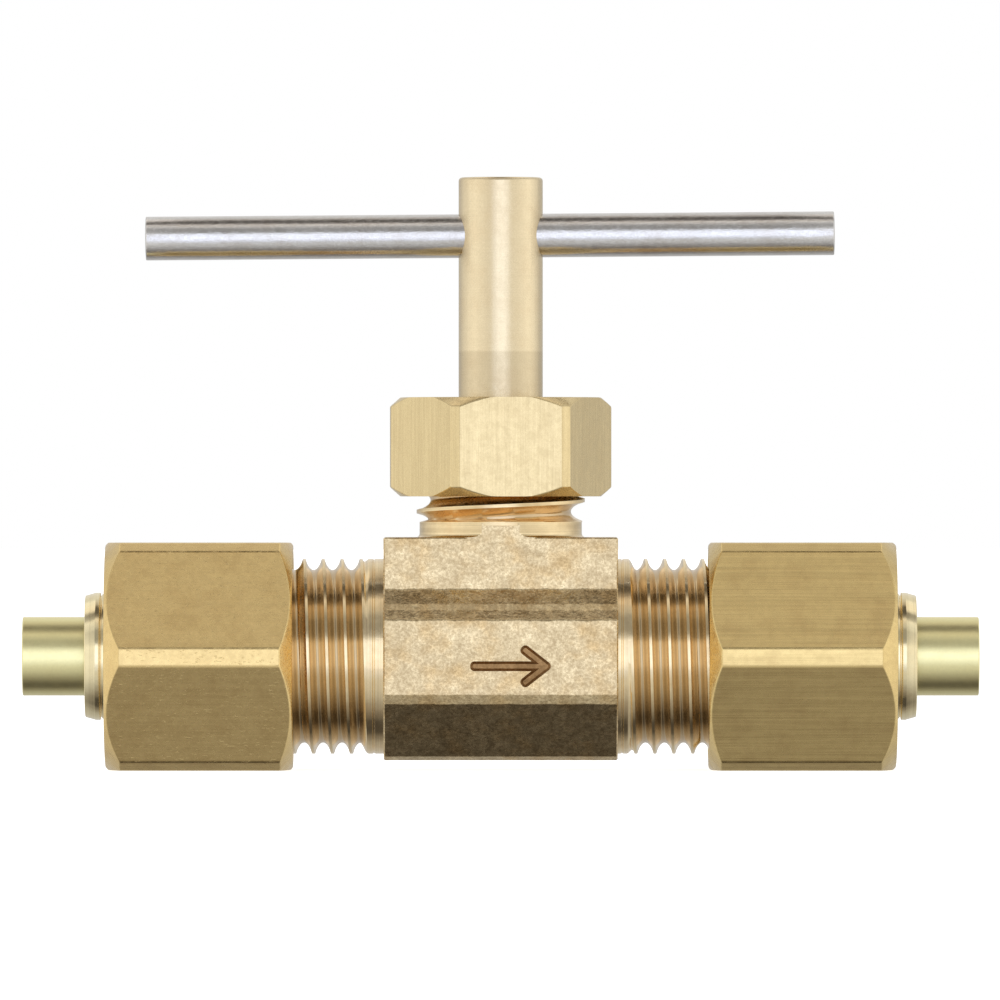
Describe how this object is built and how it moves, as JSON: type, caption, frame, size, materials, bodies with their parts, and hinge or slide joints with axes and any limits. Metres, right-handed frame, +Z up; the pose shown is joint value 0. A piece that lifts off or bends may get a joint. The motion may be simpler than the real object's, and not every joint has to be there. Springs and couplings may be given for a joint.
{
  "type": "needle valve",
  "caption": "Small brass needle valve for soft tube, with long hexagonal compression nuts in line, a packing nut on the neck and a steel cross-bar handle on its rising stem.",
  "frame": {"origin": "on the resting plane, under the stem axis: the plane of the compression nuts' lowest flats, 6.35 mm below the run axis", "axes": "+X along the run from inlet to outlet, +Z up along the stem, -Y is the face with the flow arrow"},
  "size_m": [0.0534, 0.0142, 0.0331],
  "materials": {
    "body_brass": "machined satin",
    "nut_brass": "brushed satin",
    "gland_brass": "machined satin",
    "stem_brass": "turned satin",
    "sleeve_brass": "turned, slightly golden",
    "insert_brass": "pale, smooth drawn",
    "washer_brass": "stamped",
    "bar_steel": "drawn wire, satin",
    "seal_rubber": "smooth",
    "packing_ptfe": "matte, slightly waxy"
  },
  "bodies": {
    "body": {"valve_body": "body_brass", "packing_support_washer": "washer_brass", "stem_packing": "packing_ptfe"},
    "stem_seal": {"stem_o_ring": "seal_rubber"},
    "stem_and_handle": {"stem": "stem_brass", "handle_bar": "bar_steel"},
    "gland": {"gland_washer": "washer_brass"},
    "packing_nut_body": {"packing_nut": "gland_brass"},
    "inlet_sleeve_body": {"inlet_sleeve": "sleeve_brass"},
    "inlet_nut_body": {"inlet_compression_nut": "nut_brass"},
    "inlet_insert_body": {"inlet_tube_insert": "insert_brass"},
    "outlet_sleeve_body": {"outlet_sleeve": "sleeve_brass"},
    "outlet_nut_body": {"outlet_compression_nut": "nut_brass"},
    "outlet_insert_body": {"outlet_tube_insert": "insert_brass"}
  },
  "joints": [
    {"name": "stem_rise", "type": "slide", "parent": "body", "child": "stem_seal", "axis": [0, 0, 1], "range_m": [0, 0.00283]},
    {"name": "stem_turn", "type": "hinge", "parent": "stem_seal", "child": "stem_and_handle", "pos_m": [0, 0, 0.02989], "axis": [0, 0, 1], "range_deg": [0, 1125]},
    {"name": "packing_nut_rise", "type": "slide", "parent": "body", "child": "gland", "axis": [0, 0, 1], "range_m": [0, 0.00265]},
    {"name": "packing_nut_turn", "type": "hinge", "parent": "gland", "child": "packing_nut_body", "pos_m": [0, 0, 0.01805], "axis": [0, 0, 1], "range_deg": [0, 750]},
    {"name": "inlet_nut_travel", "type": "slide", "parent": "body", "child": "inlet_sleeve_body", "axis": [-1, 0, 0], "range_m": [-0.00106, 0.00432]},
    {"name": "inlet_nut_turn", "type": "hinge", "parent": "inlet_sleeve_body", "child": "inlet_nut_body", "pos_m": [-0.0168, 0, 0.00635], "axis": [-1, 0, 0], "range_deg": [-360, 1470]},
    {"name": "inlet_insert_slide", "type": "slide", "parent": "inlet_sleeve_body", "child": "inlet_insert_body", "axis": [-1, 0, 0], "range_m": [-0.0029, 0.0096]},
    {"name": "outlet_nut_travel", "type": "slide", "parent": "body", "child": "outlet_sleeve_body", "axis": [1, 0, 0], "range_m": [-0.00106, 0.00432]},
    {"name": "outlet_nut_turn", "type": "hinge", "parent": "outlet_sleeve_body", "child": "outlet_nut_body", "pos_m": [0.0168, 0, 0.00635], "axis": [1, 0, 0], "range_deg": [-360, 1470]},
    {"name": "outlet_insert_slide", "type": "slide", "parent": "outlet_sleeve_body", "child": "outlet_insert_body", "axis": [1, 0, 0], "range_m": [-0.0029, 0.0096]}
  ],
  "couplings": [
    {"joint": "stem_turn", "follows": "stem_rise", "rad_per_m": 6927.4},
    {"joint": "packing_nut_turn", "follows": "packing_nut_rise", "rad_per_m": 4947.4},
    {"joint": "inlet_nut_turn", "follows": "inlet_nut_travel", "rad_per_m": 5937.1},
    {"joint": "outlet_nut_turn", "follows": "outlet_nut_travel", "rad_per_m": 5937.1}
  ]
}
